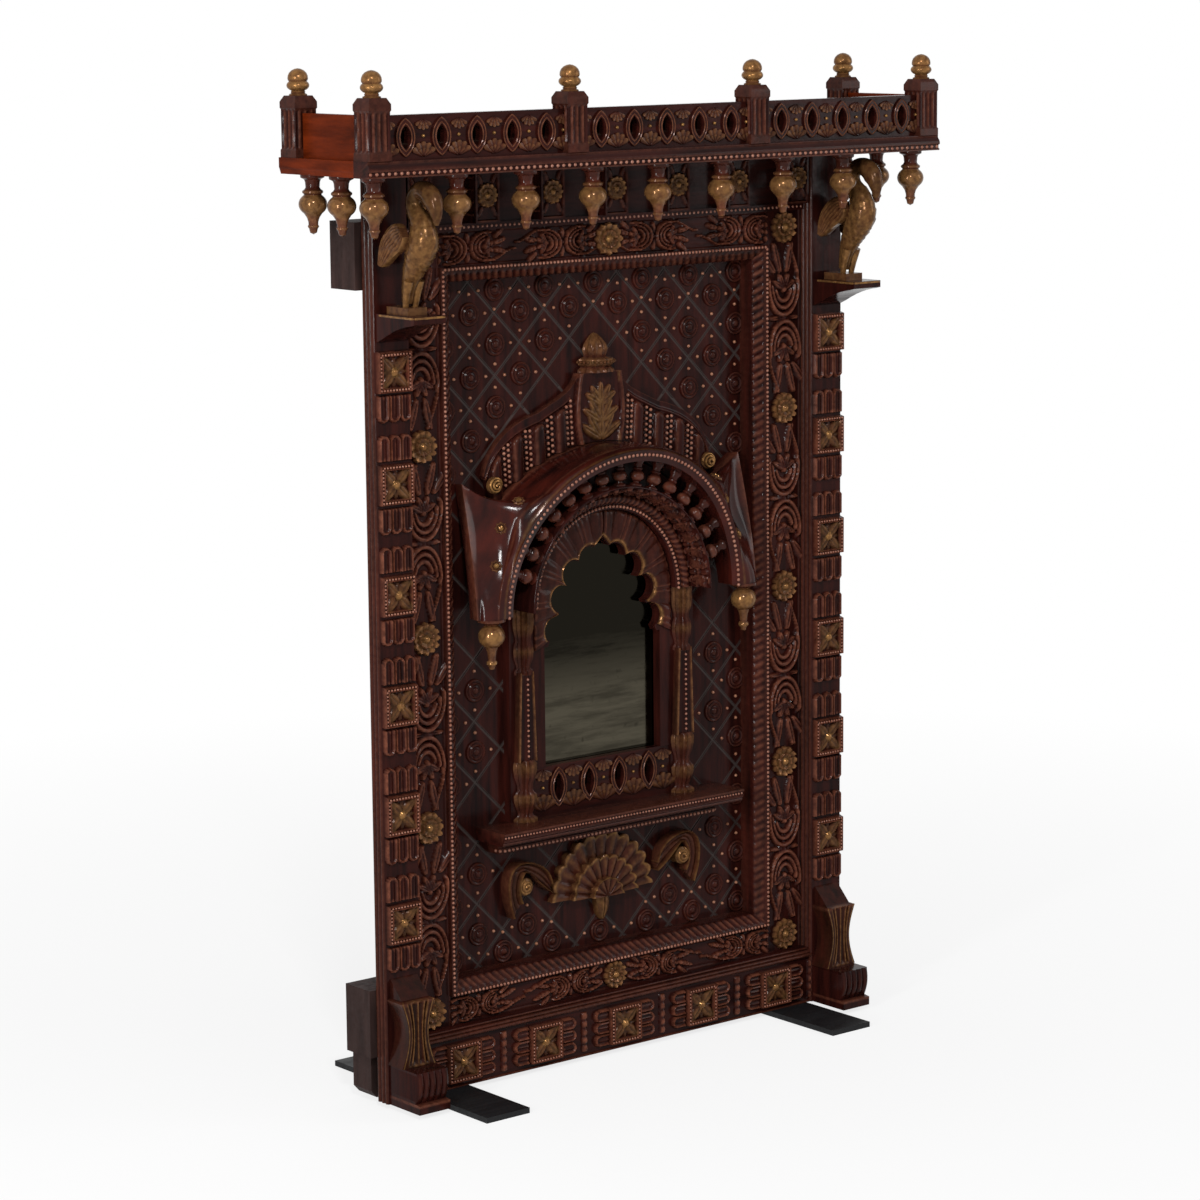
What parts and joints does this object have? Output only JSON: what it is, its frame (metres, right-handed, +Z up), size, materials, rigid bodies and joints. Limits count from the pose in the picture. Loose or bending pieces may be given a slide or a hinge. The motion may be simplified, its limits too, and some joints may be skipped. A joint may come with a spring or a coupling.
{
  "type": "carved window frame with mirror",
  "caption": "Carved dark wood window frame with a mirror niche under a drooping hood, a railed balcony on top and flat steel foot bars to stand on the floor",
  "frame": {"origin": "on the floor, midway between the two foot bars in X and at the middle of their length in Y", "axes": "+X to the right of someone facing the mirror, +Y from the front to the back, +Z up"},
  "size_m": [1.032, 0.363, 1.442],
  "materials": {
    "carved_wood": "dark red-brown stained and waxed, raised edges rubbed with copper",
    "gilt_wood": "rubbed old gold over dark wood",
    "red_wood": "red-brown polished",
    "back_wood": "dark stained, matt",
    "mirror": "silvered glass",
    "black_steel": "black painted flat bar"
  },
  "bodies": {
    "root": {"foot_bar_left": "black_steel", "foot_bar_right": "black_steel", "heel_block_left": "back_wood", "heel_block_right": "back_wood", "sill_beam": "back_wood", "lintel_beam": "back_wood", "back_stile_left": "back_wood", "back_stile_right": "back_wood", "bottom_rail": "carved_wood", "ledge_moulding": "carved_wood", "pilaster_left": "carved_wood", "pilaster_right": "carved_wood", "foot_block_left": "carved_wood", "foot_block_right": "carved_wood", "foot_console_left": "gilt_wood", "foot_console_right": "gilt_wood", "floral_band_left": "carved_wood", "floral_band_right": "carved_wood", "floral_band_top": "carved_wood", "floral_band_bottom": "carved_wood", "rope_moulding_left": "carved_wood", "rope_moulding_right": "carved_wood", "rope_moulding_top": "carved_wood", "rope_moulding_bottom": "carved_wood", "lattice_panel": "carved_wood", "mirror_glass": "mirror", "window_board": "carved_wood", "arch_ring": "carved_wood", "colonnette_left": "carved_wood", "colonnette_right": "carved_wood", "window_sill_rail": "carved_wood", "spindle_row": "carved_wood", "hood": "carved_wood", "hood_pendants": "gilt_wood", "dome_fan": "carved_wood", "dome_finial": "gilt_wood", "scroll_curls": "gilt_wood", "window_shelf": "carved_wood", "dentil_strip": "carved_wood", "shell": "gilt_wood", "shell_scroll_left": "gilt_wood", "shell_scroll_right": "gilt_wood", "frieze_board": "carved_wood", "frieze_blocks": "carved_wood", "bird_corbel_left": "carved_wood", "bird_corbel_right": "carved_wood", "bird_left": "gilt_wood", "bird_right": "gilt_wood", "balcony_floor": "back_wood", "base_front": "carved_wood", "base_end_left": "carved_wood", "base_end_right": "carved_wood", "railing_left": "carved_wood", "railing_middle": "carved_wood", "railing_right": "carved_wood", "end_panel_left": "red_wood", "end_panel_right": "red_wood", "balcony_posts": "carved_wood", "balcony_finials": "gilt_wood", "balcony_drops": "gilt_wood"}
  },
  "joints": []
}
